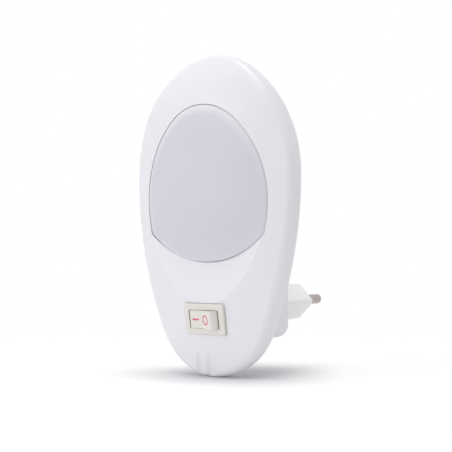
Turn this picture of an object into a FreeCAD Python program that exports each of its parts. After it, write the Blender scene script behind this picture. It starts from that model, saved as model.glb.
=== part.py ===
import FreeCAD, Part
import math
import os

# Plug-in night light: egg-shaped casing on a flat two-pin plug.
# Millimetres. +Z is up, the front looks along -Y, the wall is on the +Y side.
# The origin is the middle of the plug's engagement face.

os.makedirs("parts", exist_ok=True)
V = FreeCAD.Vector
UP = V(0, 0, 1)
TO_WALL = V(0, 1, 0)
ACROSS = V(1, 0, 0)

# Outline of the casing, seen from the front
case_half_width = 36.0
case_widest_z = 50.0
case_top_z = 95.5
case_top_radius = 26.0
case_bottom_z = -27.6
case_bottom_radius = 25.5

# Depths, measured from the plug face
front_peak_y = -53.5
seam_y = -41.5
cover_back_y = -34.3
boss_end_y = -19.2

# Curved front of the casing
front_peak_z = 46.0
front_profile_radius = 330.0
front_side_drop = 8.1
roll_start_z = 72.0
roll_radius = 48.0
front_edge_radius = 3.5
inner_edge_radius = 0.8
shell_wall = 2.0

# Cutting blocks run past the walls by this much
overrun = 2.0

# Back cover, a little smaller all round than the front shell
cover_wall = 2.0
cover_step = 0.45
cover_edge_radius = 5.0
lip_height = 1.0
lip_thickness = 1.0
lip_clearance = 0.12
lip_root = 2.0

# Plug boss on the back cover
boss_half_width = 18.6
boss_half_height = 13.2
boss_corner_radius = 5.0
boss_draft = 0.8
boss_edge_radius = 1.5
boss_wall = 2.0

# Lens outline, seen from the front
lens_half_width = 27.5
lens_widest_z = 40.3
lens_top_z = 75.8
lens_top_radius = 21.0
lens_flank_radius = 57.0
lens_bottom_z = 16.5
lens_bottom_radius = 37.0
lens_corner_radius = 1.5

# Lens section
lens_wall = 1.8
lens_proud = 0.5
lens_edge_radius = 0.8
lens_clearance = 0.25
lens_skirt_y = -44.8
lens_flange_width = 1.6
lens_flange_thickness = 1.25
lens_flange_gap = 0.12

# Snap hooks that hold the lens flange
hook_width = 4.0
hook_thickness = 1.5
hook_barb = 0.9
hook_barb_height = 1.2
hook_gap = 0.15
hook_angles = (11.0, 44.0)

# Scoop between the lens and the switch
scoop_radius = 160.0
scoop_start_z = 0.0
scoop_angle = 7.5
scoop_top_z = 26.3

# Finger flutes at the bottom of the front
flute_count = 3
flute_pitch = 5.0
flute_radius = 2.4
flute_start_z = -16.8
flute_angle = 19.0

# Case screws: one at the top, two beside the plug
screw_top_z = 84.0
screw_low_x = 21.0
screw_low_z = 8.0
screw_shank_radius = 1.1
screw_head_radius = 2.1
screw_head_height = 1.5
screw_length = 7.0
screw_clearance = 0.2
thread_clearance = 0.03
shell_post_radius = 3.0
shell_post_gap = 0.1
pilot_depth = 5.6
cover_post_radius = 3.6
screw_floor = 2.0

# Plug body, two-pin flat plug
plug_width = 35.3
plug_height = 13.7
plug_draft = 1.4
plug_tip_radius = 1.6
plug_edge_radius = 0.4
plug_fit_gap = 0.1
plug_flange_width = 30.0
plug_flange_height = 19.0
plug_flange_thickness = 3.0
plug_flange_radius = 3.0

# Pins
pin_radius = 2.0
pin_length = 19.0
pin_spacing_face = 18.6
pin_spacing_tip = 17.5
pin_neck_radius = 1.45
pin_collar_radius = 2.4
pin_collar_y = -3.5
pin_collar_length = 3.0
pin_tail_y = -27.0
pin_eye_radius = 0.6
pin_nose = 1.1
pin_nose_radius = 0.4
sleeve_radius = 1.8
sleeve_end_y = 10.0
sleeve_root_y = -1.5
mould_gap = 0.02
pin_recess = 0.35

# Switch, in its own frame: x across, y up the face, z outward
switch_z = -5.2
switch_tilt = 10.0
bezel_width = 18.0
bezel_height = 11.9
bezel_proud = 0.8
bezel_sink = 0.7
bezel_corner_radius = 0.6
bezel_edge_radius = 0.35
bezel_gap = 0.15
opening_width = 13.7
opening_height = 7.2
opening_corner_radius = 0.4
housing_width = 15.4
housing_height = 9.4
housing_depth = 10.6
housing_floor = 1.0
housing_gap = 0.2
cavity_height = 7.6
cavity_depth = 4.2
clip_root = 0.3
clip_height = 2.2
clip_reach = 0.7
clip_width = 4.0
clip_gap = 0.12

# Rocker button
rocker_swing = 22.0
rocker_end_radius = 6.6
rocker_width = 6.9
rocker_pivot_depth = 2.2
rocker_face_proud = 0.45
rocker_wall = 1.0
rocker_skirt_angle = 104.0
rocker_edge_radius = 0.25
axle_radius = 1.2
axle_reach = 0.85
axle_gap = 0.05
tube_radius = 1.85
tube_bore_radius = 1.2
tube_length = 3.4
tube_root = 0.2

# Plunger, spring and contact bridge
plunger_radius = 1.1
plunger_length = 3.6
plunger_reach = 6.0
plunger_spigot_radius = 0.55
plunger_spigot_length = 0.8
plunger_nose = 0.9
spring_wire_radius = 0.14
spring_turns = 4
spring_fit = 0.06
spring_seat_gap = 0.02
bridge_gap = 0.15
bridge_thickness = 0.4
bridge_half_length = 5.4
bridge_width = 3.4
bridge_tilt = 9.0
bridge_corner_radius = 0.6
bridge_sit = 0.3
crest_gap = 0.03
contact_gap = 0.04

# Switch terminals
blade_thickness = 0.8
blade_width = 3.2
blade_length = 6.0
blade_gap = 0.05
blade_x = 4.6
rivet_radius = 1.3
blade_eye_radius = 0.6
blade_eye_height = 1.45
blade_chamfer = 0.6

# Circuit board and its posts
board_front_y = -43.6
board_thickness = 1.6
board_margin = 3.2
board_post_radius = 2.8
board_post_top_z = 68.0
board_post_x = 16.0
board_post_z = 32.0
board_screw_length = 5.5
board_screw_head_radius = 1.9
board_screw_head_height = 1.2
board_screw_radius = 0.95
board_hole_gap = 0.15

# Parts on the board
led_size = (3.5, 1.9, 2.8)
led_window_radius = 1.1
led_window_depth = 0.5
led_spots = [(0, 58), (-11, 46), (11, 46), (0, 34)]
film_size = (13.0, 5.0, 11.0)
film_centre = (-7.0, 54.0)
film_leg_inset = 1.5
film_edge_radius = 0.5
can_radius = 2.5
can_length = 11.0
can_centre = (9.0, 52.0)
can_edge_radius = 0.4
can_leg_pitch = 2.0
can_leg_reach = 1.5
can_groove_radius = 0.45
can_groove_depth = 0.3
can_groove_height = 1.6
rectifier_size = (4.7, 2.5, 3.8)
rectifier_centre = (-9.0, 41.0)
rectifier_foot = (0.7, 1.0, 1.6)
rectifier_foot_pitch = 2.6
rectifier_lift = 0.3
rectifier_chamfer = 0.4
resistor_radius = 1.15
resistor_length = 6.3
resistor_pitch = 10.0
resistor_spots = [(4, 42), (4, 38), (4, 34)]
leg_radius = 0.3
leg_bend = 0.7
seat_gap = 0.1

# Leads inside the casing
lead_radius = 0.8
lead_bend = 2.2
lead_tight_bend = 1.4
lead_straight = 1.6
switched_rise = 8.0
neutral_rise = 6.0
solder_gap = 0.12
switched_x = 13.0
switched_pad_z = 27.0
neutral_pad_x = 7.0
neutral_pad_z = 24.5
lead_plane_y = -39.0


def save(name, shapes):
    """Write one node, one solid or several loose ones, as a STEP file."""
    solids = []
    for shape in shapes if isinstance(shapes, list) else [shapes]:
        solids.extend(shape.Solids)
    body = solids[0] if len(solids) == 1 else Part.makeCompound(solids)
    if not body.isValid():
        print("not valid:", name)
    body.exportStep("parts/" + name + ".step")
    print(name, len(solids), round(sum(s.Volume for s in solids), 1))


def prism(wire, y_start, y_end):
    """Wire drawn at y = 0 pushed along Y."""
    face = Part.Face(wire)
    face.translate(V(0, y_start, 0))
    return face.extrude(V(0, y_end - y_start, 0))


def rounded_bar(width, height, radius, low, high):
    """Bar of rounded rectangular section along local z, centred on x and y."""
    x = width / 2
    y = height / 2
    bar = Part.makeBox(width, height, high - low, V(-x, -y, low))
    edges = [e for e in bar.Edges if abs(e.tangentAt(e.FirstParameter).z) > 0.9]
    return bar.makeFillet(radius, edges) if radius > 0 else bar


def arc_point(centre, radius, angle):
    """Point on a circle in the XZ plane, angle in degrees from +X."""
    a = math.radians(angle)
    return V(centre[0] + radius * math.cos(a), 0, centre[1] + radius * math.sin(a))


def arc(centre, radius, start, end):
    return Part.Arc(arc_point(centre, radius, start),
                    arc_point(centre, radius, (start + end) / 2),
                    arc_point(centre, radius, end)).toShape()


def side_arc(half_width, widest_z, end_z, end_radius):
    """Arc upright at the widest line and tangent to the end arc centred at end_z.

    Gives its centre, its radius and the angle where the two meet.
    """
    rise = end_z - widest_z
    radius = (half_width ** 2 + rise ** 2 - end_radius ** 2) / (2 * (half_width - end_radius))
    meet = math.degrees(math.atan2(rise, radius - half_width))
    return (half_width - radius, widest_z), radius, meet


def mirrored(centre):
    return (-centre[0], centre[1])


def case_wire(inset):
    """Egg outline of the casing in six tangent arcs, moved inward by inset."""
    top = (0, case_top_z - case_top_radius)
    bottom = (0, case_bottom_z + case_bottom_radius)
    shoulder, shoulder_r, meet = side_arc(case_half_width, case_widest_z, top[1], case_top_radius)
    flank, flank_r, low = side_arc(case_half_width, case_widest_z, bottom[1], case_bottom_radius)
    edges = [arc(top, case_top_radius - inset, 180 - meet, meet),
             arc(shoulder, shoulder_r - inset, meet, 0),
             arc(flank, flank_r - inset, 0, low),
             arc(bottom, case_bottom_radius - inset, low, -180 - low),
             arc(mirrored(flank), flank_r - inset, -180 - low, -180),
             arc(mirrored(shoulder), shoulder_r - inset, 180, 180 - meet)]
    return Part.Wire(edges)


def lens_shoulder():
    """Centre, radius and end angle of the lens's shoulder arc."""
    return side_arc(lens_half_width, lens_widest_z, lens_top_z - lens_top_radius, lens_top_radius)


def lens_block(inset, y_start, y_end):
    """Shield outline of the lens pushed along Y, its two low corners rounded."""
    shoulder, shoulder_r, meet = lens_shoulder()
    top = (0, lens_top_z - lens_top_radius)
    flank = (lens_half_width - lens_flank_radius, lens_widest_z)
    bottom = (0, lens_bottom_z + lens_bottom_radius)
    flank_r = lens_flank_radius - inset
    bottom_r = lens_bottom_radius - inset
    # crossing of the flank circle and the bottom circle
    gap = V(bottom[0] - flank[0], 0, bottom[1] - flank[1])
    along = (flank_r ** 2 - bottom_r ** 2 + gap.Length ** 2) / (2 * gap.Length)
    side = math.sqrt(flank_r ** 2 - along ** 2)
    unit = gap.normalize()
    corner = V(flank[0], 0, flank[1]) + unit * along + V(unit.z, 0, -unit.x) * side
    at_flank = math.degrees(math.atan2(corner.z - flank[1], corner.x - flank[0]))
    at_bottom = math.degrees(math.atan2(corner.z - bottom[1], corner.x))
    edges = [arc(top, lens_top_radius - inset, 180 - meet, meet),
             arc(shoulder, shoulder_r - inset, meet, 0),
             arc(flank, flank_r, 0, at_flank),
             arc(bottom, bottom_r, at_bottom, -180 - at_bottom),
             arc(mirrored(flank), flank_r, -180 - at_flank, -180),
             arc(mirrored(shoulder), shoulder_r - inset, 180, 180 - meet)]
    block = prism(Part.Wire(edges), y_start, y_end)
    corners = [e for e in block.Edges
               if abs(e.tangentAt(e.FirstParameter).y) > 0.9
               and abs(abs(e.CenterOfMass.x) - corner.x) < 0.01
               and abs(e.CenterOfMass.z - corner.z) < 0.01]
    return block.makeFillet(max(lens_corner_radius - inset, 0.3), corners)


def roll_angle():
    """Tilt of the plane where the front profile turns into the top roll."""
    return math.asin((roll_start_z - front_peak_z) / front_profile_radius)


def crown_radius():
    """Radius across the front that drops it by front_side_drop at its widest."""
    return (case_half_width ** 2 + front_side_drop ** 2) / (2 * front_side_drop)


def front_space(inset):
    """Everything behind the curved front, the front moved inward by inset."""
    tilt = roll_angle()
    out = V(0, -math.cos(tilt), math.sin(tilt))
    main_axis = V(0, front_peak_y + front_profile_radius, front_peak_z)
    meeting = main_axis + out * front_profile_radius
    roll_axis = meeting - out * roll_radius
    crown = crown_radius() - inset
    middle = meeting - out * inset
    reach = case_half_width + overrun
    sag = crown - math.sqrt(crown ** 2 - reach ** 2)
    right = middle - out * sag + ACROSS * reach
    left = middle - out * sag - ACROSS * reach
    depth = roll_radius - inset - sag - 1
    right_back = right - out * depth
    left_back = left - out * depth
    face = Part.Face(Part.Wire([Part.Arc(left, middle, right).toShape(),
                                Part.makeLine(right, right_back),
                                Part.makeLine(right_back, left_back),
                                Part.makeLine(left_back, left)]))
    low_turn = math.degrees((case_widest_z + case_half_width * 2) / front_profile_radius)
    main = face.revolve(main_axis, ACROSS, low_turn)
    roll = face.revolve(roll_axis, ACROSS, -80)
    return main.fuse(roll).removeSplitter()


def front_surface_y(x, z, inset):
    """Depth of the front surface below the top roll."""
    ring = front_profile_radius - crown_radius()
    ring += math.sqrt((crown_radius() - inset) ** 2 - x ** 2)
    return front_peak_y + front_profile_radius - math.sqrt(ring ** 2 - (z - front_peak_z) ** 2)


def case_block(inset, edge_radius):
    """Front half of the casing as one block, with its front edge rounded."""
    block = prism(case_wire(inset), seam_y, front_peak_y - overrun)
    block = block.common(front_space(inset))
    rim = []
    for edge in block.Edges:
        middle = (edge.FirstParameter + edge.LastParameter) / 2
        point = edge.valueAt(middle)
        along_y = abs(edge.tangentAt(middle).y) > 0.95
        inside = abs(point.x) < 0.01 and abs(point.z - roll_start_z) < 5
        if point.y < seam_y - 0.3 and not along_y and not inside:
            rim.append(edge)
    return block.makeFillet(edge_radius, rim)


def scoop_cutter(extra):
    """Round cutter that leans into the front and opens towards the lens."""
    lean = math.radians(scoop_angle)
    along = V(0, math.sin(lean), math.cos(lean))
    out = V(0, -math.cos(lean), math.sin(lean))
    start = V(0, front_surface_y(0, scoop_start_z, 0), scoop_start_z)
    foot = start + out * scoop_radius - along * scoop_radius
    bar = Part.makeCylinder(scoop_radius + extra, 2.5 * scoop_radius, foot, along)
    reach = 2 * scoop_radius
    below = Part.makeBox(2 * reach, reach, reach, V(-reach, front_peak_y - reach / 2, scoop_top_z - reach))
    return bar.common(below)


def flute_cutter(index):
    """Round-nosed groove that gets deeper towards the bottom edge."""
    x = (index - (flute_count - 1) / 2) * flute_pitch
    lean = math.radians(flute_angle)
    down = V(0, math.sin(lean), -math.cos(lean))
    out = V(0, -math.cos(lean), -math.sin(lean))
    start = V(x, front_surface_y(x, flute_start_z, 0), flute_start_z) + out * flute_radius
    length = 4 * flute_pitch
    groove = Part.makeCylinder(flute_radius, length, start, down)
    return groove.fuse(Part.makeSphere(flute_radius, start))


def to_switch(shape):
    """Carry a shape from the switch's frame to the casing's."""
    moved = shape.copy()
    seat = V(0, front_surface_y(0, switch_z, 0), switch_z)
    turn = FreeCAD.Rotation(ACROSS, 90 + switch_tilt)
    moved.Placement = FreeCAD.Placement(seat, turn).multiply(moved.Placement)
    return moved


def switch_point(x, y, z):
    """Point of the switch's frame in the casing's."""
    return to_switch(Part.Vertex(x, y, z)).Point


def screw_spots():
    return [(0, screw_top_z), (screw_low_x, screw_low_z), (-screw_low_x, screw_low_z)]


def screw(head_y, length, radius, head_radius, head_height, x, z, side):
    """Pan-head screw along Y; side is the way its shank points."""
    way = V(0, side, 0)
    base = V(x, head_y, z)
    shank = Part.makeCylinder(radius, length - radius, base, way)
    point = Part.makeCone(radius, radius * 0.3, radius, base + way * (length - radius), way)
    head = Part.makeCylinder(head_radius, head_height, base, way * -1)
    rim = [e for e in head.Edges if abs((e.CenterOfMass - base).dot(way) + head_height) < 0.01]
    head = head.makeFillet(head_height * 0.55, rim)
    slot = Part.makeBox(head_radius * 1.5, head_height, head_radius * 0.3)
    slot.translate(V(x - head_radius * 0.75, head_y - head_height / 2, z - head_radius * 0.15))
    slot.translate(way * -head_height)
    cross = slot.copy()
    cross.rotate(base, way, 90)
    return shank.fuse([point, head]).cut([slot, cross]).removeSplitter()


def hook(x, z, turn):
    """Snap hook behind the lens flange; turn aims its barb, in degrees."""
    y = seat_y(x, z)
    barb_y = y + lens_flange_gap + lens_flange_thickness + hook_gap
    stem = Part.makeBox(hook_thickness, barb_y + hook_barb_height - (y - shell_wall / 2), hook_width,
                        V(0, y - shell_wall / 2, -hook_width / 2))
    barb = Part.makeBox(hook_barb + hook_thickness, hook_barb_height, hook_width,
                        V(-hook_barb, barb_y, -hook_width / 2))
    shape = stem.fuse(barb).removeSplitter()
    slope = [e for e in shape.Edges
             if abs(e.CenterOfMass.x + hook_barb) < 0.01
             and abs(e.CenterOfMass.y - barb_y - hook_barb_height) < 0.01]
    shape = shape.makeChamfer(hook_barb * 0.6, slope)
    shape.rotate(V(0, 0, 0), TO_WALL, -turn)
    shape.translate(V(x, 0, z))
    return shape


def seat_y(x, z):
    """Depth of the shell's inner face at a spot, also under the top roll."""
    if z <= roll_start_z:
        return front_surface_y(x, z, shell_wall)
    probe = Part.makeLine(V(x, front_peak_y - overrun, z), V(x, seam_y + overrun, z))
    return min(v.Y for v in probe.common(front_space(shell_wall)).Vertexes)


def front_shell():
    shell = case_block(0, front_edge_radius)
    shell = shell.cut([scoop_cutter(0)] + [flute_cutter(i) for i in range(flute_count)])
    hollow = case_block(shell_wall, inner_edge_radius).cut(scoop_cutter(shell_wall))
    posts = []
    for x, z in screw_spots():
        top = seat_y(x, z) - shell_wall / 2
        posts.append(Part.makeCylinder(shell_post_radius, seam_y - shell_post_gap - top, V(x, top, z), TO_WALL))
    for angle in hook_angles:
        x, z = hook_spot(angle)
        posts.append(hook(x, z, angle))
        posts.append(hook(-x, z, 180 - angle))
    shell = shell.cut(hollow).fuse(posts)
    cuts = [lens_block(-lens_clearance, front_peak_y - overrun, seam_y)]
    for x, z in screw_spots():
        cuts.append(Part.makeCylinder(screw_shank_radius + thread_clearance, pilot_depth,
                                      V(x, seam_y - pilot_depth, z), TO_WALL))
    pocket = rounded_bar(bezel_width + 2 * bezel_gap, bezel_height + 2 * bezel_gap,
                         bezel_corner_radius + bezel_gap, -bezel_sink, overrun)
    window = rounded_bar(housing_width + 2 * housing_gap, housing_height + 2 * housing_gap,
                         bezel_corner_radius, -shell_wall - overrun, overrun)
    cuts += [to_switch(pocket), to_switch(window)]
    return shell.cut(cuts).removeSplitter()


def hook_spot(angle):
    """Spot just outside the lens flange on its shoulder arc."""
    centre, radius, meet = lens_shoulder()
    spot = arc_point(centre, radius + lens_flange_width + hook_gap, angle)
    return spot.x, spot.z


def diffuser_lens():
    front_y = front_peak_y - lens_proud - overrun
    cap = lens_block(0, front_y, lens_skirt_y).common(front_space(-lens_proud))
    rim = []
    for edge in cap.Edges:
        middle = (edge.FirstParameter + edge.LastParameter) / 2
        point = edge.valueAt(middle)
        along_y = abs(edge.tangentAt(middle).y) > 0.95
        inside = abs(point.x) < 0.01 and abs(point.z - roll_start_z) < 2
        if point.y < lens_skirt_y - 0.5 and not along_y and not inside:
            rim.append(edge)
    cap = cap.makeFillet(lens_edge_radius, rim)
    bowl = lens_block(lens_wall, front_y, lens_skirt_y).common(front_space(lens_wall - lens_proud))
    layer_front = shell_wall + lens_flange_gap
    flange = lens_block(-lens_flange_width, front_y, lens_skirt_y)
    flange = flange.common(front_space(layer_front)).cut(front_space(layer_front + lens_flange_thickness))
    flange = flange.cut(scoop_cutter(layer_front))
    return cap.fuse(flange).cut(bowl).removeSplitter()


def boss_block(inset, y_start, y_end):
    """Drafted block of the plug boss, moved inward by inset."""
    wires = []
    for y in (y_start, y_end):
        grow = math.tan(math.radians(boss_draft)) * (boss_end_y - y) - inset
        outline = rounded_bar(2 * (boss_half_width + grow), 2 * (boss_half_height + grow),
                              boss_corner_radius - inset, 0, 1)
        face = [f for f in outline.Faces if abs(f.CenterOfMass.z) < 0.001][0]
        wire = face.OuterWire
        wire.rotate(V(0, 0, 0), ACROSS, 90)
        wire.translate(V(0, y, 0))
        wires.append(wire)
    return Part.makeLoft(wires, True, True)


def hex_wire(grow, y):
    """Six-sided plug section with rounded side tips, grown by a margin."""
    half = plug_width / 2 + grow
    top = plug_height / 2 + grow
    radius = plug_tip_radius + grow
    tip = half + radius * (math.sqrt(2) - 1)
    flat = tip - top
    centre = tip - radius * math.sqrt(2)
    touch = radius / math.sqrt(2)
    points = [V(-flat, y, top), V(flat, y, top), V(centre + touch, y, touch),
              V(centre + touch, y, -touch), V(flat, y, -top), V(-flat, y, -top),
              V(-centre - touch, y, -touch), V(-centre - touch, y, touch)]
    edges = [Part.makeLine(points[0], points[1]),
             Part.makeLine(points[1], points[2]),
             Part.Arc(points[2], V(half, y, 0), points[3]).toShape(),
             Part.makeLine(points[3], points[4]),
             Part.makeLine(points[4], points[5]),
             Part.makeLine(points[5], points[6]),
             Part.Arc(points[6], V(-half, y, 0), points[7]).toShape(),
             Part.makeLine(points[7], points[0])]
    return Part.Wire(edges)


def hex_block(extra, y_start, y_end):
    """Drafted plug body between two depths; the engagement face is at y = 0."""
    rate = math.tan(math.radians(plug_draft))
    return Part.makeLoft([hex_wire(extra - y * rate, y) for y in (y_start, y_end)], True, True)


def back_cover():
    tray = prism(case_wire(cover_step), seam_y, cover_back_y)
    back_edges = [e for e in tray.Edges if abs(e.CenterOfMass.y - cover_back_y) < 0.01]
    tray = tray.makeFillet(cover_edge_radius, back_edges)
    hollow = prism(case_wire(cover_step + cover_wall), seam_y, cover_back_y - cover_wall)
    hollow_edges = [e for e in hollow.Edges if abs(e.CenterOfMass.y - cover_back_y + cover_wall) < 0.01]
    hollow = hollow.makeFillet(cover_edge_radius - cover_wall, hollow_edges)
    boss = boss_block(0, cover_back_y - cover_wall / 2, boss_end_y)
    end_edges = [e for e in boss.Edges if abs(e.CenterOfMass.y - boss_end_y) < 0.01]
    boss = boss.makeFillet(boss_edge_radius, end_edges)
    lip_in = shell_wall + lip_clearance
    lip = prism(case_wire(lip_in), seam_y - lip_height, seam_y)
    lip = lip.fuse(prism(case_wire(cover_step + cover_wall / 2), seam_y, seam_y + lip_root))
    lip = lip.cut(prism(case_wire(lip_in + lip_thickness), seam_y - lip_height, cover_back_y))
    posts = []
    cuts = [boss_block(boss_wall, cover_back_y - cover_wall - overrun, boss_end_y - boss_wall),
            hex_block(plug_fit_gap, boss_end_y - boss_wall - overrun, boss_end_y + overrun)]
    for x, z in screw_spots():
        posts.append(Part.makeCylinder(cover_post_radius, cover_back_y - cover_wall / 2 - seam_y, V(x, seam_y, z), TO_WALL))
        seat = seam_y + screw_floor
        cuts.append(Part.makeCylinder(screw_head_radius + screw_clearance, cover_back_y + overrun - seat,
                                      V(x, seat, z), TO_WALL))
        cuts.append(Part.makeCylinder(screw_shank_radius + screw_clearance, 2 * screw_floor,
                                      V(x, seam_y - screw_floor, z), TO_WALL))
    for x, z in board_spots():
        posts.append(Part.makeCylinder(board_post_radius, cover_back_y - cover_wall / 2 - board_back(),
                                       V(x, board_back(), z), TO_WALL))
        cuts.append(Part.makeCylinder(board_screw_radius + thread_clearance, board_screw_length,
                                      V(x, board_front_y, z), TO_WALL))
    return tray.cut(hollow).fuse([boss, lip] + posts).cut(cuts).removeSplitter()


def pin_turn(side):
    """Placement that leans a pin drawn along +Y through its face point."""
    lean = math.degrees(math.atan2(pin_spacing_face - pin_spacing_tip, 2 * pin_length))
    base = V(side * pin_spacing_face / 2, 0, 0)
    return FreeCAD.Placement(base, FreeCAD.Rotation(UP, side * lean))


def turned(points):
    """Solid of revolution about +Y from (radius, y) pairs."""
    corners = [V(r, y, 0) for r, y in points]
    outline = Part.makePolygon(corners + [corners[0]])
    return Part.Face(outline).revolve(V(0, 0, 0), TO_WALL, 360)


def pin_blank(extra):
    """Stepped pin about the Y axis; extra grows it for the mould cavity."""
    collar_front = pin_collar_y + pin_collar_length / 2
    collar_back = pin_collar_y - pin_collar_length / 2
    return turned([(0, pin_length), (pin_radius - pin_nose + extra, pin_length),
                   (pin_radius + extra, pin_length - pin_nose), (pin_radius + extra, sleeve_end_y),
                   (pin_neck_radius + extra, sleeve_end_y), (pin_neck_radius + extra, collar_front),
                   (pin_collar_radius + extra, collar_front), (pin_collar_radius + extra, collar_back),
                   (pin_neck_radius + extra, collar_back), (pin_neck_radius + extra, pin_tail_y),
                   (0, pin_tail_y)])


def pin(side):
    body = pin_blank(0)
    rim = [e for e in body.Edges if abs(e.CenterOfMass.y - pin_length) < 0.01
           or abs(e.CenterOfMass.y - pin_length + pin_nose) < 0.01]
    body = body.makeFillet(pin_nose_radius, [e for e in rim if e.Length > 1])
    eye_y = pin_tail_y + 2 * pin_eye_radius
    eye = Part.makeCylinder(pin_eye_radius, 4 * pin_neck_radius, V(0, eye_y, -2 * pin_neck_radius), UP)
    body = body.cut(eye)
    body.Placement = pin_turn(side)
    return body


def pin_sleeve(side):
    sleeve = turned([(pin_neck_radius + mould_gap, sleeve_root_y), (sleeve_radius, sleeve_root_y),
                     (sleeve_radius, sleeve_end_y - mould_gap),
                     (pin_neck_radius + mould_gap, sleeve_end_y - mould_gap)])
    sleeve.Placement = pin_turn(side)
    return sleeve


def plug_body():
    flange_y = boss_end_y - boss_wall - plug_fit_gap
    body = hex_block(0, flange_y, 0)
    face_edges = [e for e in body.Edges if abs(e.CenterOfMass.y) < 0.01]
    body = body.makeFillet(plug_edge_radius, face_edges)
    flange = rounded_bar(plug_flange_width, plug_flange_height, plug_flange_radius, 0, plug_flange_thickness)
    flange.rotate(V(0, 0, 0), ACROSS, 90)
    flange.translate(V(0, flange_y, 0))
    body = body.fuse(flange)
    for side in (-1, 1):
        cavity = pin_blank(mould_gap)
        room = sleeve_radius + mould_gap
        floor_y = sleeve_root_y - mould_gap
        sleeve_room = turned([(0, floor_y), (room, floor_y), (room, overrun), (0, overrun)])
        recess = turned([(0, overrun), (0, -pin_recess), (room, -pin_recess),
                         (room + overrun + pin_recess, overrun)])
        cavity = cavity.fuse([sleeve_room, recess])
        cavity.Placement = pin_turn(side)
        body = body.cut(cavity)
    return body.removeSplitter()


def switch_housing():
    """Bezel, walls and floor of the switch, open at the front."""
    bezel = rounded_bar(bezel_width, bezel_height, bezel_corner_radius, -bezel_sink, bezel_proud)
    top_edges = [e for e in bezel.Edges if abs(e.CenterOfMass.z - bezel_proud) < 0.01]
    bezel = bezel.makeFillet(bezel_edge_radius, top_edges)
    body = rounded_bar(housing_width, housing_height, bezel_corner_radius / 2, -housing_depth, -bezel_sink)
    clips = []
    clip_top = -shell_wall - clip_gap - housing_width ** 2 / (8 * (crown_radius() - shell_wall))
    for side in (-1, 1):
        foot = side * (housing_width / 2 - clip_root)
        out = side * (housing_width / 2 + clip_reach)
        points = [V(foot, 0, clip_top), V(out, 0, clip_top), V(foot, 0, clip_top - clip_height)]
        wedge = Part.Face(Part.makePolygon(points + [points[0]])).extrude(V(0, clip_width, 0))
        wedge.translate(V(0, -clip_width / 2, 0))
        clips.append(wedge)
    housing = bezel.fuse([body] + clips)
    mouth = rounded_bar(opening_width, opening_height, opening_corner_radius,
                        -housing_depth + housing_floor, bezel_proud + overrun)
    low_room = Part.makeBox(opening_width, cavity_height, housing_depth - housing_floor - cavity_depth,
                            V(-opening_width / 2, -cavity_height / 2, -housing_depth + housing_floor))
    axle_room = Part.makeCylinder(axle_radius + axle_gap, rocker_width + 2 * axle_reach + 2 * axle_gap,
                                  V(0, -rocker_width / 2 - axle_reach - axle_gap, pivot_z()), V(0, 1, 0))
    cuts = [mouth, low_room, axle_room]
    for x in (0, blade_x):
        cuts.append(Part.makeBox(blade_thickness + 2 * blade_gap, blade_width + 2 * blade_gap, 3 * housing_floor,
                                 V(x - blade_thickness / 2 - blade_gap, -blade_width / 2 - blade_gap,
                                   -housing_depth - housing_floor)))
    return to_switch(housing.cut(cuts).removeSplitter())


def rocker_profile(end_radius, face_drop, skirt_angle):
    """Rocker section in the xz plane about its pivot, faces meeting in a shallow V."""
    half_swing = rocker_swing / 2
    centre_height = rocker_pivot_depth + rocker_face_proud - face_drop
    rise = math.tan(math.radians(half_swing))
    # where the sloping face meets the round end
    a = 1 + rise ** 2
    b = 2 * centre_height * rise
    c = centre_height ** 2 - end_radius ** 2
    corner_x = (-b + math.sqrt(b ** 2 - 4 * a * c)) / (2 * a)
    corner_z = centre_height + corner_x * rise
    low_x = end_radius * math.sin(math.radians(skirt_angle))
    low_z = end_radius * math.cos(math.radians(skirt_angle))
    points = [V(-corner_x, 0, corner_z), V(0, 0, centre_height), V(corner_x, 0, corner_z),
              V(low_x, 0, low_z), V(-low_x, 0, low_z)]
    edges = [Part.makeLine(points[0], points[1]),
             Part.makeLine(points[1], points[2]),
             Part.Arc(points[2], V(end_radius, 0, 0), points[3]).toShape(),
             Part.makeLine(points[3], points[4]),
             Part.Arc(points[4], V(-end_radius, 0, 0), points[0]).toShape()]
    return Part.Face(Part.Wire(edges))


def at_rocker(shape, turn):
    """Tilt a shape drawn about the pivot and carry it to the casing."""
    tilted = shape.copy()
    tilted.rotate(V(0, 0, 0), V(0, 1, 0), turn)
    tilted.translate(V(0, 0, bezel_proud - rocker_pivot_depth))
    return to_switch(tilted)


def rocker_button():
    block = rocker_profile(rocker_end_radius, 0, rocker_skirt_angle).extrude(V(0, rocker_width, 0))
    block.translate(V(0, -rocker_width / 2, 0))
    sides = [e for e in block.Edges
             if abs(abs(e.CenterOfMass.y) - rocker_width / 2) < 0.01 and e.CenterOfMass.z > 1.5]
    block = block.makeFillet(rocker_edge_radius, sides)
    room_width = rocker_width - 2 * rocker_wall
    room = rocker_profile(rocker_end_radius - rocker_wall, rocker_wall, 90)
    room = room.extrude(V(0, room_width, 0))
    room.translate(V(0, -room_width / 2, 0))
    below = Part.makeBox(2 * (rocker_end_radius - rocker_wall), room_width, rocker_end_radius,
                         V(-rocker_end_radius + rocker_wall, -room_width / 2, -rocker_end_radius))
    bore_top = rocker_pivot_depth + rocker_face_proud - rocker_wall
    tube = Part.makeCylinder(tube_radius, tube_length + bore_top + tube_root, V(0, 0, -tube_length), UP)
    bore = Part.makeCylinder(tube_bore_radius, tube_length + bore_top, V(0, 0, -tube_length), UP)
    axle = Part.makeCylinder(axle_radius, rocker_width + 2 * axle_reach,
                             V(0, -rocker_width / 2 - axle_reach, 0), V(0, 1, 0))
    axle = axle.cut(Part.makeBox(4 * axle_radius, room_width, 4 * axle_radius,
                                 V(-2 * axle_radius, -room_width / 2, -2 * axle_radius)))
    button = block.cut(room).cut(below).fuse([tube, axle]).cut(bore)
    return at_rocker(button.removeSplitter(), -rocker_swing / 2)


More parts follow.
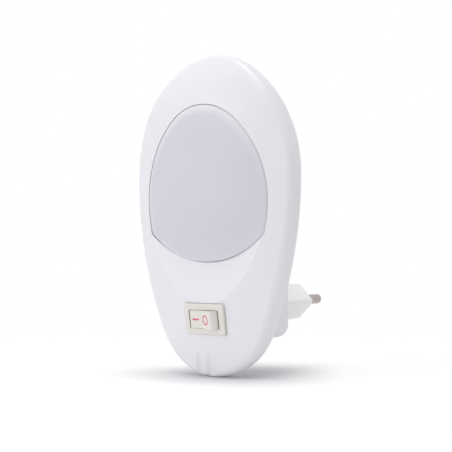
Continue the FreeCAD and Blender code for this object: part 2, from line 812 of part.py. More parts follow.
def plunger_top():
    return -plunger_reach + plunger_length


def plunger():
    start = -plunger_reach + plunger_nose
    body = Part.makeCylinder(plunger_radius, plunger_length - plunger_nose, V(0, 0, start), UP)
    tip = Part.makeSphere(plunger_radius, V(0, 0, -plunger_reach + plunger_radius))
    side = 2 * plunger_radius
    tip = tip.common(Part.makeBox(2 * side, 2 * side, side, V(-side, -side, start - side)))
    spigot = Part.makeCylinder(plunger_spigot_radius, plunger_spigot_length, V(0, 0, plunger_top()), UP)
    return at_rocker(body.fuse([tip, spigot]).removeSplitter(), -rocker_swing / 2)


def plunger_spring():
    low = plunger_top() + spring_wire_radius + spring_seat_gap
    high = rocker_pivot_depth + rocker_face_proud - rocker_wall - spring_wire_radius - spring_seat_gap
    coil_radius = tube_bore_radius - spring_wire_radius - spring_fit
    helix = Part.makeHelix((high - low) / spring_turns, high - low, coil_radius)
    start = helix.Edges[0].valueAt(helix.Edges[0].FirstParameter)
    way = helix.Edges[0].tangentAt(helix.Edges[0].FirstParameter)
    ring = Part.Wire(Part.makeCircle(spring_wire_radius, start, way))
    coil = Part.Wire(helix.Edges).makePipeShell([ring], True, True)
    coil.translate(V(0, 0, low))
    return at_rocker(coil, -rocker_swing / 2)


def bridge_height():
    """Height of the bridge's pivot above the rocker pivot."""
    return -plunger_reach - bridge_gap - bridge_thickness - bridge_sit


def contact_bridge():
    """Seesaw plate with a round groove that sits on the middle terminal's crest."""
    plate = Part.makeBox(2 * bridge_half_length, bridge_width, bridge_thickness,
                         V(-bridge_half_length, -bridge_width / 2, bridge_sit))
    corners = [e for e in plate.Edges if abs(e.tangentAt(e.FirstParameter).z) > 0.9]
    plate = plate.makeFillet(bridge_corner_radius, corners)
    groove = Part.makeCylinder(blade_thickness / 2 + crest_gap, 2 * bridge_width, V(0, -bridge_width, 0), V(0, 1, 0))
    plate = plate.cut(groove)
    plate.rotate(V(0, 0, 0), V(0, 1, 0), bridge_tilt)
    plate.translate(V(0, 0, bridge_height()))
    return at_rocker(plate, 0)


def blade(x, top):
    """Terminal blade through the housing floor, its eye below."""
    low = -housing_depth - blade_length
    strip = Part.makeBox(blade_thickness, blade_width, top - low,
                         V(x - blade_thickness / 2, -blade_width / 2, low))
    foot = [e for e in strip.Edges if abs(e.tangentAt(e.FirstParameter).x) > 0.9 and e.CenterOfMass.z < low + 0.1]
    strip = strip.makeChamfer(blade_chamfer, foot)
    eye = Part.makeCylinder(blade_eye_radius, 2 * blade_width, V(x - blade_width, 0, low + blade_eye_height), ACROSS)
    return strip.cut(eye)


def pivot_z():
    return bezel_proud - rocker_pivot_depth


def common_terminal():
    """Middle blade, its round crest on the bridge's pivot."""
    pivot = pivot_z() + bridge_height()
    crest = Part.makeCylinder(blade_thickness / 2, blade_width, V(0, -blade_width / 2, pivot), V(0, 1, 0))
    return to_switch(blade(0, pivot).fuse(crest).removeSplitter())


def contact_terminal():
    lean = math.radians(bridge_tilt)
    seat_z = -housing_depth + housing_floor + contact_gap
    under = pivot_z() + bridge_height() + bridge_sit / math.cos(lean)
    top = under - (blade_x + rivet_radius) * math.tan(lean) - contact_gap
    head = Part.makeCylinder(rivet_radius, top - seat_z, V(blade_x, 0, seat_z), UP)
    return to_switch(blade(blade_x, seat_z + contact_gap).fuse(head).removeSplitter())


def board_spots():
    return [(0, board_post_top_z), (board_post_x, board_post_z), (-board_post_x, board_post_z)]


def board_holes():
    """Leg holes of the parts that stand on the board."""
    spots = []
    for x, z in resistor_spots:
        spots += [(x - resistor_pitch / 2, z), (x + resistor_pitch / 2, z)]
    for side in (-1, 1):
        spots.append((film_leg_x(side), film_centre[1]))
        spots.append((can_leg_x(side), can_centre[1] - can_length / 2 - can_leg_reach))
    return spots


def film_leg_x(side):
    return film_centre[0] + side * (film_size[0] / 2 - film_leg_inset)


def can_leg_x(side):
    return can_centre[0] + side * can_leg_pitch / 2


def circuit_board():
    board = lens_block(board_margin, board_front_y, board_front_y + board_thickness)
    cuts = []
    for x, z in board_spots():
        cuts.append(Part.makeCylinder(board_screw_radius + board_hole_gap, 2 * board_thickness,
                                      V(x, board_front_y - 0.1, z), TO_WALL))
    for x, z in board_holes():
        cuts.append(Part.makeCylinder(leg_radius + seat_gap, 2 * board_thickness,
                                      V(x, board_front_y - 0.1, z), TO_WALL))
    return board.cut(cuts)


def led(x, z):
    """Surface-mount lamp with a round window, facing the lens."""
    width, depth, height = led_size
    body = Part.makeBox(width, depth, height, V(x - width / 2, board_front_y - depth, z - height / 2))
    window = Part.makeCone(led_window_radius, led_window_radius * 0.7, led_window_depth,
                           V(x, board_front_y - depth, z), TO_WALL)
    return body.cut(window)


def swept(points, radius, bend):
    """Round wire along straight runs joined by tangent arcs."""
    edges = []
    start = points[0]
    for i in range(1, len(points) - 1):
        before = (points[i] - points[i - 1]).normalize()
        after = (points[i + 1] - points[i]).normalize()
        turn = before.getAngle(after)
        cut = bend * math.tan(turn / 2)
        first = points[i] - before * cut
        last = points[i] + after * cut
        inward = (after - before).normalize()
        middle = points[i] + inward * (bend / math.cos(turn / 2) - bend)
        edges.append(Part.makeLine(start, first))
        edges.append(Part.Arc(first, middle, last).toShape())
        start = last
    edges.append(Part.makeLine(start, points[-1]))
    ring = Part.Wire(Part.makeCircle(radius, points[0], points[1] - points[0]))
    length = sum(e.Length for e in edges)
    tube = Part.Wire(edges).makePipeShell([ring], True, False)
    print("  sweep volume over section times length:",
          round(tube.Volume / (math.pi * radius ** 2 * length), 4), "length", round(length, 1))
    return tube


def board_back():
    return board_front_y + board_thickness


def resistor(x, z):
    y = board_back() + seat_gap + resistor_radius
    body = Part.makeCylinder(resistor_radius, resistor_length, V(x - resistor_length / 2, y, z), ACROSS)
    body = body.makeFillet(resistor_radius * 0.4, [e for e in body.Edges if abs(e.tangentAt(0).x) < 0.5])
    end = V(0, board_front_y + seat_gap - y, 0)
    half = resistor_pitch / 2
    leg = swept([V(x - half, y, z) + end, V(x - half, y, z), V(x + half, y, z), V(x + half, y, z) + end],
                leg_radius, leg_bend)
    return body.fuse(leg).removeSplitter()


def film_capacitor():
    width, depth, height = film_size
    y = board_back() + seat_gap
    body = Part.makeBox(width, depth, height, V(film_centre[0] - width / 2, y, film_centre[1] - height / 2))
    body = body.makeFillet(film_edge_radius, body.Edges)
    legs = []
    for side in (-1, 1):
        foot = V(film_leg_x(side), board_front_y + seat_gap, film_centre[1])
        legs.append(Part.makeCylinder(leg_radius, board_thickness + depth / 2, foot, TO_WALL))
    return body.fuse(legs).removeSplitter()


def electrolytic_capacitor():
    """Aluminium can lying on the board, its two legs bent into it."""
    y = board_back() + seat_gap + can_radius
    low = can_centre[1] - can_length / 2
    can = Part.makeCylinder(can_radius, can_length, V(can_centre[0], y, low), UP)
    can = can.makeFillet(can_edge_radius, [e for e in can.Edges if abs(e.tangentAt(0).z) < 0.5])
    groove = Part.makeTorus(can_radius + can_groove_radius - can_groove_depth, can_groove_radius,
                            V(can_centre[0], y, low + can_groove_height), UP)
    legs = []
    for side in (-1, 1):
        x = can_leg_x(side)
        turn_z = low - can_leg_reach
        legs.append(swept([V(x, y, low + can_edge_radius), V(x, y, turn_z), V(x, board_front_y + seat_gap, turn_z)],
                          leg_radius, leg_bend))
    return can.cut(groove).fuse(legs).removeSplitter()


def bridge_rectifier():
    width, depth, height = rectifier_size
    x, z = rectifier_centre
    under = board_back() + rectifier_lift
    body = Part.makeBox(width, depth - rectifier_lift, height, V(x - width / 2, under, z - height / 2))
    body = body.makeChamfer(rectifier_chamfer,
                            [e for e in body.Edges if e.CenterOfMass.y > board_back() + depth - 0.1])
    foot_x, foot_y, foot_z = rectifier_foot
    feet = []
    for side in (-1, 1):
        for row in (-1, 1):
            corner = V(x + row * rectifier_foot_pitch / 2 - foot_x / 2, board_back(),
                       z + side * (height / 2 + rectifier_lift) - foot_z / 2)
            feet.append(Part.makeBox(foot_x, foot_y, foot_z, corner))
    return body.fuse(feet).removeSplitter()


def tail_point(side, back):
    """Point on a pin's axis behind its tail."""
    return pin_turn(side).multVec(V(0, pin_tail_y - back, 0))


def blade_point(x, side):
    """Point beside a terminal blade, level with its eye."""
    reach = blade_thickness / 2 + solder_gap
    return switch_point(x + side * reach, 0, -housing_depth - blade_length + blade_eye_height)


def live_lead():
    """From the left pin to the middle terminal."""
    start = tail_point(-1, solder_gap)
    bend = tail_point(-1, lead_straight)
    end = blade_point(0, -1)
    return swept([start, bend, V(bend.x, end.y, end.z), end], lead_radius, lead_bend)


def switched_lead():
    """From the outer terminal up to the board."""
    start = blade_point(blade_x, 1)
    pad = V(switched_x, board_back() + solder_gap, switched_pad_z)
    return swept([start, V(switched_x, start.y, start.z), V(switched_x, lead_plane_y, start.z + switched_rise),
                  V(switched_x, lead_plane_y, switched_pad_z), pad], lead_radius, lead_tight_bend)


def neutral_lead():
    """From the right pin up to the board."""
    start = tail_point(1, solder_gap)
    bend = tail_point(1, lead_straight)
    pad = V(neutral_pad_x, board_back() + solder_gap, neutral_pad_z)
    return swept([start, bend, V(bend.x, lead_plane_y, bend.z + neutral_rise),
                  V(neutral_pad_x, lead_plane_y, neutral_pad_z), pad], lead_radius, lead_tight_bend)


save("front_shell", front_shell())
save("diffuser_lens", diffuser_lens())
save("back_cover", back_cover())
save("plug_body", plug_body())
save("left_pin", pin(-1))
save("right_pin", pin(1))
save("left_pin_sleeve", pin_sleeve(-1))
save("right_pin_sleeve", pin_sleeve(1))
save("switch_housing", switch_housing())
save("rocker_button", rocker_button())
save("plunger", plunger())
save("plunger_spring", plunger_spring())
save("contact_bridge", contact_bridge())
save("common_terminal", common_terminal())
save("contact_terminal", contact_terminal())
save("circuit_board", circuit_board())
save("leds", [led(x, z) for x, z in led_spots])
save("film_capacitor", film_capacitor())
save("electrolytic_capacitor", electrolytic_capacitor())
save("bridge_rectifier", bridge_rectifier())
save("resistors", [resistor(x, z) for x, z in resistor_spots])
save("case_screws", [screw(seam_y + screw_floor, screw_length, screw_shank_radius, screw_head_radius,
                           screw_head_height, x, z, -1) for x, z in screw_spots()])
save("board_screws", [screw(board_front_y, board_screw_length, board_screw_radius, board_screw_head_radius,
                            board_screw_head_height, x, z, 1) for x, z in board_spots()])
save("live_lead", live_lead())
save("switched_lead", switched_lead())
save("neutral_lead", neutral_lead())
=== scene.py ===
import math

import bmesh
import bpy
from mathutils import Matrix, Vector


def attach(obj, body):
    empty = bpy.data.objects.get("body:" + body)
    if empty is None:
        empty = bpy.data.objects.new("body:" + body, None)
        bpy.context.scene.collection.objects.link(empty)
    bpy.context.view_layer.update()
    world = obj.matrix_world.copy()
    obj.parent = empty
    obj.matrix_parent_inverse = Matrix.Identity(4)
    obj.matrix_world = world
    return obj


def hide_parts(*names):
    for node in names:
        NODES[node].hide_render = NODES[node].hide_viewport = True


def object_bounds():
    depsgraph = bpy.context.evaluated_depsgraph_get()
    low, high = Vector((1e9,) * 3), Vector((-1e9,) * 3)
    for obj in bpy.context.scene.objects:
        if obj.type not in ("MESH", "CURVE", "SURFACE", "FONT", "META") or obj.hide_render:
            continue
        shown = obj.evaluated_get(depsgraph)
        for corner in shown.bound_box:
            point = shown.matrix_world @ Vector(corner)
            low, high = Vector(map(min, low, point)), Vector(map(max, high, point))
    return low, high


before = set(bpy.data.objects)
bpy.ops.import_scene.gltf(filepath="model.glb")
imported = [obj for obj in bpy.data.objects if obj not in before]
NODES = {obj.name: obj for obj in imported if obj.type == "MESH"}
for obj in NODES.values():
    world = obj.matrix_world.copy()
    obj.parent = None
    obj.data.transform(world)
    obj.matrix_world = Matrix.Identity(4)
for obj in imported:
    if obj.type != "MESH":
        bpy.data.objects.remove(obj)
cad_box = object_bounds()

MM = 0.001


# Material building blocks

# Noise factors crowd round one half, so the looks stretch this part of them
NOISE_LOW = 0.3
NOISE_HIGH = 0.7

# Plastic, sizes in mm: patches of colour and of sheen, and the seams where painted shade darkens the
# colour, with a warm tint
DRIFT_SIZE = 14
SMEAR_SIZE = 6
SEAM_REACH = 1.2
SEAM_DEEP = 0.25
SEAM_OPEN = 0.8
SEAM_SHADE_TINT = (2.2, 2.6, 3.2)
GLOW_RADII = (1.2, 1.1, 1.0)

# Metal, sizes in mm: tarnish patches, and fine lines drawn out along y
TARNISH_SIZE = 2.4
TARNISH_START = 0.52
TARNISH_FULL = 0.75
TARNISH_MOST = 0.6
LINE_SIZE = 0.12
LINE_STRETCH = (1, 0.05, 1)
LINE_DEPTH = 0.003


def new_material(name, colour, roughness):
    """Principled material and the pieces of its tree that the looks below add to."""
    mat = bpy.data.materials.new(name)
    mat.use_nodes = True
    tree = mat.node_tree
    shader = tree.nodes["Principled BSDF"]
    shader.inputs["Base Color"].default_value = (*colour, 1)
    shader.inputs["Roughness"].default_value = roughness
    coord = tree.nodes.new("ShaderNodeTexCoord").outputs["Object"]
    return mat, tree, shader, coord


def noise(tree, coord, size_mm, detail, distortion=0.0):
    node = tree.nodes.new("ShaderNodeTexNoise")
    node.inputs["Scale"].default_value = 1 / (size_mm * MM)
    node.inputs["Detail"].default_value = detail
    node.inputs["Distortion"].default_value = distortion
    tree.links.new(coord, node.inputs["Vector"])
    return node.outputs["Fac"]


def remap(tree, value, low, high, out_low, out_high):
    """Value between low and high, stretched to the two outputs and held there beyond them."""
    node = tree.nodes.new("ShaderNodeMapRange")
    ends = {"From Min": low, "From Max": high, "To Min": out_low, "To Max": out_high}
    for name, number in ends.items():
        node.inputs[name].default_value = number
    tree.links.new(value, node.inputs["Value"])
    return node.outputs["Result"]


def multiply(tree, first, second):
    """Product of a socket and a number or another socket."""
    node = tree.nodes.new("ShaderNodeMath")
    node.operation = "MULTIPLY"
    tree.links.new(first, node.inputs[0])
    if isinstance(second, (int, float)):
        node.inputs[1].default_value = second
    else:
        tree.links.new(second, node.inputs[1])
    return node.outputs[0]


def mix_colour(tree, factor, first, second):
    """Mix of two colours, each a tuple or a socket, by a socket."""
    node = tree.nodes.new("ShaderNodeMix")
    node.data_type = "RGBA"
    tree.links.new(factor, node.inputs[0])
    for socket, value in ((node.inputs[6], first), (node.inputs[7], second)):
        if isinstance(value, tuple):
            socket.default_value = (*value, 1)
        else:
            tree.links.new(value, socket)
    return node.outputs[2]


def bump(tree, shader, height, depth_mm):
    """Fine relief on a shader's surface, depth_mm deep at full height."""
    node = tree.nodes.new("ShaderNodeBump")
    node.inputs["Strength"].default_value = 1.0
    node.inputs["Distance"].default_value = depth_mm * MM
    tree.links.new(height, node.inputs["Height"])
    tree.links.new(node.outputs["Normal"], shader.inputs["Normal"])


def crevice(tree, reach_mm, samples):
    """1 in the open, lower in seams and corners."""
    node = tree.nodes.new("ShaderNodeAmbientOcclusion")
    node.samples = samples
    node.inputs["Distance"].default_value = reach_mm * MM
    return node.outputs["AO"]


def tinted(colour, shift):
    """Colour moved by a shift, held between 0 and 1."""
    return tuple(max(0.0, min(1.0, c + s)) for c, s in zip(colour, shift))


def plastic(name, colour, roughness=0.35, grain_mm=0.35, grain_depth_mm=0.004, seam_shade=0.06,
            mottle=0.012, subsurface=0.0):
    """Moulded plastic: fine spark-eroded grain, slow colour drift, painted shade darkening the seams.
    """
    mat, tree, shader, coord = new_material(name, colour, roughness)
    patches = noise(tree, coord, DRIFT_SIZE, detail=3)
    drift = remap(tree, patches, NOISE_LOW, NOISE_HIGH, 0, 1)
    darker = tinted(colour, (-mottle, -mottle, -mottle * 0.7))
    lighter = tinted(colour, (mottle * 0.4,) * 3)
    base = mix_colour(tree, drift, darker, lighter)
    # Painted shade: the colour is darkened, with a warm tint, in seams and corners where the occlusion
    # mask says shade falls
    seam_shade_mask = remap(tree, crevice(tree, SEAM_REACH, samples=6), SEAM_DEEP, SEAM_OPEN, 1, 0)
    seam_shaded = tuple(c * (1 - seam_shade * k) for c, k in zip(colour, SEAM_SHADE_TINT))
    tree.links.new(mix_colour(tree, seam_shade_mask, base, seam_shaded), shader.inputs["Base Color"])
    smear = noise(tree, coord, SMEAR_SIZE, detail=4, distortion=0.6)
    uneven = remap(tree, smear, NOISE_LOW, NOISE_HIGH, roughness - 0.05, roughness + 0.07)
    tree.links.new(uneven, shader.inputs["Roughness"])
    bump(tree, shader, noise(tree, coord, grain_mm, detail=2), grain_depth_mm)
    shader.inputs["Specular IOR Level"].default_value = 0.45
    if subsurface:
        shader.inputs["Subsurface Weight"].default_value = subsurface
        shader.inputs["Subsurface Radius"].default_value = GLOW_RADII
        shader.inputs["Subsurface Scale"].default_value = MM
    return mat


def paint_rim_highlight(mat, colour):
    """Painted highlight: the lens's colour made lighter near its rim, most towards the top; the mesh
    says how near the rim is.
    """
    tree = mat.node_tree
    base = tree.nodes["Principled BSDF"].inputs["Base Color"]
    rim_highlight_mask = tree.nodes.new("ShaderNodeAttribute")
    rim_highlight_mask.attribute_name = "rim"
    plain = base.links[0].from_socket
    tree.links.new(mix_colour(tree, rim_highlight_mask.outputs["Fac"], plain, colour), base)


def metal(name, colour, roughness=0.25, tarnish=(0.5, 0.42, 0.3)):
    """Plated or drawn metal: fine lines along y, darker tarnish patches."""
    mat, tree, shader, coord = new_material(name, colour, roughness)
    shader.inputs["Metallic"].default_value = 1.0
    patches = noise(tree, coord, TARNISH_SIZE, detail=5, distortion=1.0)
    dulled = remap(tree, patches, TARNISH_START, TARNISH_FULL, 0, TARNISH_MOST)
    tree.links.new(mix_colour(tree, dulled, colour, tarnish), shader.inputs["Base Color"])
    stretch = tree.nodes.new("ShaderNodeMapping")
    stretch.inputs["Scale"].default_value = LINE_STRETCH
    tree.links.new(coord, stretch.inputs["Vector"])
    lines = noise(tree, stretch.outputs["Vector"], LINE_SIZE, detail=3)
    uneven = remap(tree, lines, NOISE_LOW, NOISE_HIGH, roughness - 0.08, roughness + 0.12)
    tree.links.new(uneven, shader.inputs["Roughness"])
    bump(tree, shader, lines, LINE_DEPTH)
    return mat


# Materials of the pieces

# The seam-shade amount each look is given paints shade into its seams and corners
shell_white = plastic("shell_white", (0.86, 0.855, 0.89), roughness=0.33, subsurface=0.08)
lens_frost = plastic("lens_frost", (0.70, 0.69, 0.76), roughness=0.42, grain_mm=0.2,
                     subsurface=0.25, mottle=0.006)
# Painted highlight along the lens's rim, strongest at its top
paint_rim_highlight(lens_frost, (0.84, 0.84, 0.87))
# Painted light: the plug's white is set lighter than the casing's to stand in for the light that falls
# on it
plug_white_painted_lighter = plastic("plug_white_painted_lighter", (0.92, 0.915, 0.925), roughness=0.36, subsurface=0.08)
sleeve_white = plastic("sleeve_white", (0.80, 0.79, 0.78), roughness=0.4)
bezel_cream = plastic("bezel_cream", (0.82, 0.79, 0.74), roughness=0.34, seam_shade=0.16)
rocker_cream = plastic("rocker_cream", (0.84, 0.81, 0.76), roughness=0.36, seam_shade=0.16)
acetal = plastic("acetal", (0.84, 0.84, 0.80), roughness=0.3, subsurface=0.1)
black_epoxy = plastic("black_epoxy", (0.03, 0.03, 0.032), roughness=0.5, seam_shade=0.0, mottle=0.004)
film_yellow = plastic("film_yellow", (0.62, 0.46, 0.10), roughness=0.38, seam_shade=0.02)
can_sleeve = plastic("can_sleeve", (0.05, 0.06, 0.14), roughness=0.28, seam_shade=0.0, mottle=0.004)
resistor_tan = plastic("resistor_tan", (0.62, 0.50, 0.33), roughness=0.4, seam_shade=0.02)
brown_wire = plastic("brown_wire", (0.20, 0.09, 0.04), roughness=0.45, seam_shade=0.02, mottle=0.004)
blue_wire = plastic("blue_wire", (0.05, 0.16, 0.46), roughness=0.45, seam_shade=0.02, mottle=0.004)
lamp_white = plastic("lamp_white", (0.85, 0.84, 0.78), roughness=0.4, seam_shade=0.02)
mark_red = plastic("mark_red", (0.72, 0.16, 0.24), roughness=0.45, grain_mm=0.1,
                   grain_depth_mm=0.002, seam_shade=0.0)
board_tan = plastic("board_tan", (0.50, 0.36, 0.17), roughness=0.5, grain_mm=0.6,
                    seam_shade=0.03, mottle=0.03)
nickel = metal("nickel", (0.42, 0.37, 0.35), roughness=0.2, tarnish=(0.12, 0.09, 0.08))
brass = metal("brass", (0.72, 0.52, 0.24))
zinc = metal("zinc", (0.66, 0.66, 0.68), roughness=0.3)
spring_wire = metal("spring_wire", (0.55, 0.55, 0.56), roughness=0.22)

looks = {
    "front_shell": shell_white, "back_cover": shell_white, "diffuser_lens": lens_frost,
    "plug_body": plug_white_painted_lighter, "left_pin": nickel, "right_pin": nickel,
    "left_pin_sleeve": sleeve_white, "right_pin_sleeve": sleeve_white,
    "switch_housing": bezel_cream, "rocker_button": rocker_cream, "plunger": acetal,
    "plunger_spring": spring_wire, "contact_bridge": brass, "common_terminal": brass,
    "contact_terminal": brass, "circuit_board": board_tan, "leds": lamp_white,
    "film_capacitor": film_yellow, "electrolytic_capacitor": can_sleeve,
    "bridge_rectifier": black_epoxy, "resistors": resistor_tan, "case_screws": zinc,
    "board_screws": zinc, "live_lead": brown_wire, "switched_lead": brown_wire,
    "neutral_lead": blue_wire,
}
for node_name, mat in looks.items():
    mesh = NODES[node_name].data
    mesh.materials.clear()
    mesh.materials.append(mat)


# Printed marks on the rocker

# Switch frame as the CAD places it: x across, y up the face, z outward
SWITCH_SEAT = Vector((0, -49.50460, -5.2)) * MM
SWITCH_TILT = math.radians(10)
PIVOT_DEPTH = -1.4 * MM
FACE_RISE = 2.65 * MM
ROCKER_SWING = math.radians(22)

# A mark's foot and its face, in mm over the rocker's face
MARK_HEIGHTS = (-0.05, 0.03)


def rocker_face(side, along, up, height):
    """Point over one half of the rocker's face at rest; along runs out from its middle fold."""
    slope = ROCKER_SWING / 2
    local = Vector((side * along * math.cos(slope), up, FACE_RISE + along * math.sin(slope)))
    local += Vector((-side * math.sin(slope), 0, math.cos(slope))) * height
    turned = Matrix.Rotation(-ROCKER_SWING / 2, 4, "Y") @ local
    turned.z += PIVOT_DEPTH
    return SWITCH_SEAT + Matrix.Rotation(math.pi / 2 + SWITCH_TILT, 4, "X") @ turned


def finish_piece(name, bm, mat, body, smooth_angle):
    """Object made from bm that rides on a body; edges sharper than smooth_angle stay crisp."""
    bmesh.ops.recalc_face_normals(bm, faces=bm.faces)
    mesh = bpy.data.meshes.new(name)
    bm.to_mesh(mesh)
    bm.free()
    mesh.materials.append(mat)
    mesh.shade_smooth()
    mesh.set_sharp_from_angle(angle=math.radians(smooth_angle))
    piece = bpy.data.objects.new(name, mesh)
    bpy.context.scene.collection.objects.link(piece)
    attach(piece, body)
    return piece


def strip_mark(name, side, loops):
    """Thin printed mark from closed loops of (along, up) in mm, outer first."""
    bm = bmesh.new()
    rings = []
    for height in MARK_HEIGHTS:
        for loop in loops:
            places = [rocker_face(side, a * MM, u * MM, height * MM) for a, u in loop]
            rings.append([bm.verts.new(place) for place in places])
    count = len(loops)
    for i in range(count):
        low, high = rings[i], rings[count + i]
        for k in range(len(low)):
            n = (k + 1) % len(low)
            bm.faces.new((low[k], low[n], high[n], high[k]))
    if count == 1:
        bm.faces.new(rings[1])
        bm.faces.new(rings[0])
    else:
        for outer, inner in ((rings[2], rings[3]), (rings[0], rings[1])):
            for k in range(len(outer)):
                n = (k + 1) % len(outer)
                bm.faces.new((outer[k], outer[n], inner[n], inner[k]))
    finish_piece(name, bm, mark_red, "rocker", smooth_angle=40)


def ellipse(centre, half_width, half_height, count=56):
    """Closed loop of points round an ellipse."""
    return [(centre[0] + half_width * math.cos(2 * math.pi * i / count),
             centre[1] + half_height * math.sin(2 * math.pi * i / count)) for i in range(count)]


def capsule(centre, half_length, half_width, count=10):
    """Closed loop of points round a bar with round ends."""
    points = []
    for side in (1, -1):
        for i in range(count + 1):
            a = -math.pi / 2 + math.pi * i / count
            points.append((centre[0] + side * (half_length - half_width + half_width * math.cos(a)),
                           centre[1] + side * half_width * math.sin(a)))
    return points


strip_mark("rocker_mark_ring", 1, [ellipse((2.0, 0), half_width=1.75, half_height=1.95),
                                   ellipse((2.0, 0), half_width=1.2, half_height=1.4)])
strip_mark("rocker_mark_dash", -1, [capsule((3.1, 0), half_length=1.6, half_width=0.34)])


# Lens with its soft rim and dipped foot

# The casing's front surface and the lens's outline, in mm, as the CAD has them
FRONT_PEAK = (-53.5, 46.0)
PROFILE_RADIUS = 330.0
CROWN_RADIUS = 84.05
LENS_PROUD = 0.5
LENS_WALL = 1.8
LENS_BACK_Y = -44.8
LENS_CENTRE = (0.0, 44.0)
TOP_ARC = ((0.0, 54.8), 21.0)
FLANK_ARC = ((-29.5, 40.3), 57.0)
BOTTOM_ARC = ((0.0, 53.5), 37.0)
CORNER_RADIUS = 1.5
LENS_HALF_WIDTH = 27.5

# What the CAD lens leaves plain, in mm: a broad soft rim that starts just outside the outline,
# and a foot that dips to the scoop's floor
RIM_EASE = 0.06
RIM_WIDTH = 3.6
RIM_DROP = 0.7
FOOT_DIP = 2.9
FOOT_REACH = 20.0

# Mesh of the lens: points on the arcs of half its outline, from the top round, then the rings
# of the rim, which crowd to the edge, the rings inside it, and those drawn in to the centre
ARC_STEPS = (22, 26, 18, 6, 34)
RIM_STEPS = 12
RIM_CROWDING = 1.6
INNER_INSETS = [5.0, 7.0, 9.5]
CENTRE_SHARES = (0.84, 0.66, 0.48, 0.3, 0.14)

# The rim's painted highlight is full from this height over the lens's centre up, and least so below
# the centre
RIM_HIGHLIGHT_HEIGHT = 30
RIM_LEAST_HIGHLIGHT = 0.15


def shoulder_arc():
    """Arc upright at the lens's widest line and tangent to its top arc."""
    rise = TOP_ARC[0][1] - FLANK_ARC[0][1]
    gap = LENS_HALF_WIDTH - TOP_ARC[1]
    radius = (LENS_HALF_WIDTH ** 2 + rise ** 2 - TOP_ARC[1] ** 2) / (2 * gap)
    centre = (LENS_HALF_WIDTH - radius, FLANK_ARC[0][1])
    return centre, radius, math.atan2(rise, radius - LENS_HALF_WIDTH)


def crossing(first, first_r, second, second_r):
    """Right-hand meeting point of two circles."""
    dx, dz = second[0] - first[0], second[1] - first[1]
    gap = math.hypot(dx, dz)
    along = (first_r ** 2 - second_r ** 2 + gap ** 2) / (2 * gap)
    side = math.sqrt(first_r ** 2 - along ** 2)
    return (first[0] + (dx * along + dz * side) / gap, first[1] + (dz * along - dx * side) / gap)


def arc_points(centre, radius, start, end, count):
    """Points along an arc, its last one left to the next arc."""
    angles = [start + (end - start) * i / count for i in range(count)]
    return [(centre[0] + radius * math.cos(a), centre[1] + radius * math.sin(a)) for a in angles]


def lens_outline(inset):
    """Shield outline of the lens, moved in by inset, from the top round by the right."""
    shoulder, shoulder_r, meet = shoulder_arc()
    corner_r = max(CORNER_RADIUS - inset, 0)
    reach = inset + corner_r
    corner = crossing(FLANK_ARC[0], FLANK_ARC[1] - reach, BOTTOM_ARC[0], BOTTOM_ARC[1] - reach)
    at_flank = math.atan2(corner[1] - FLANK_ARC[0][1], corner[0] - FLANK_ARC[0][0])
    at_bottom = math.atan2(corner[1] - BOTTOM_ARC[0][1], corner[0] - BOTTOM_ARC[0][0])
    arcs = (
        (TOP_ARC[0], TOP_ARC[1] - inset, math.pi / 2, meet),
        (shoulder, shoulder_r - inset, meet, 0),
        (FLANK_ARC[0], FLANK_ARC[1] - inset, 0, at_flank),
        (corner, corner_r, at_flank, at_bottom),
        (BOTTOM_ARC[0], BOTTOM_ARC[1] - inset, at_bottom, -math.pi / 2),
    )
    half = [point for arc, count in zip(arcs, ARC_STEPS) for point in arc_points(*arc, count)]
    foot = (0.0, BOTTOM_ARC[0][1] - BOTTOM_ARC[1] + inset)
    return half + [foot] + [(-x, z) for x, z in reversed(half[1:])]


def crown_y(x, z):
    """Front of the lens before its rim and foot fall away."""
    ring = PROFILE_RADIUS - CROWN_RADIUS + math.sqrt((CROWN_RADIUS + LENS_PROUD) ** 2 - x ** 2)
    return FRONT_PEAK[0] + PROFILE_RADIUS - math.sqrt(ring ** 2 - (z - FRONT_PEAK[1]) ** 2)


def foot_dip(x, z):
    """How far the lens falls behind that front near its bottom edge."""
    above = BOTTOM_ARC[1] - math.hypot(x - BOTTOM_ARC[0][0], z - BOTTOM_ARC[0][1])
    near = max(0.0, 1 - above / FOOT_REACH)
    return FOOT_DIP * near ** 2 * max(0.0, 1 - (x / LENS_HALF_WIDTH) ** 2)


def rim_drop(inset):
    """How far the soft rim falls at this distance in from the edge."""
    short = min(1.0, max(0.0, 1 - inset / RIM_WIDTH))
    return RIM_DROP * (1 - math.sqrt(1 - short ** 2))


def lens_ring(inset, depth):
    """Ring of points that follows the outline, depth behind the lens's front."""
    drop = rim_drop(inset)
    return [(x, crown_y(x, z) + foot_dip(x, z) + drop + depth, z) for x, z in lens_outline(inset)]


def shrunk_ring(inset, share, depth):
    """Ring drawn in to the lens's centre, for the middle where the arcs run out."""
    ring = []
    for x, z in lens_outline(inset):
        x = LENS_CENTRE[0] + (x - LENS_CENTRE[0]) * share
        z = LENS_CENTRE[1] + (z - LENS_CENTRE[1]) * share
        ring.append((x, crown_y(x, z) + foot_dip(x, z) + depth, z))
    return ring


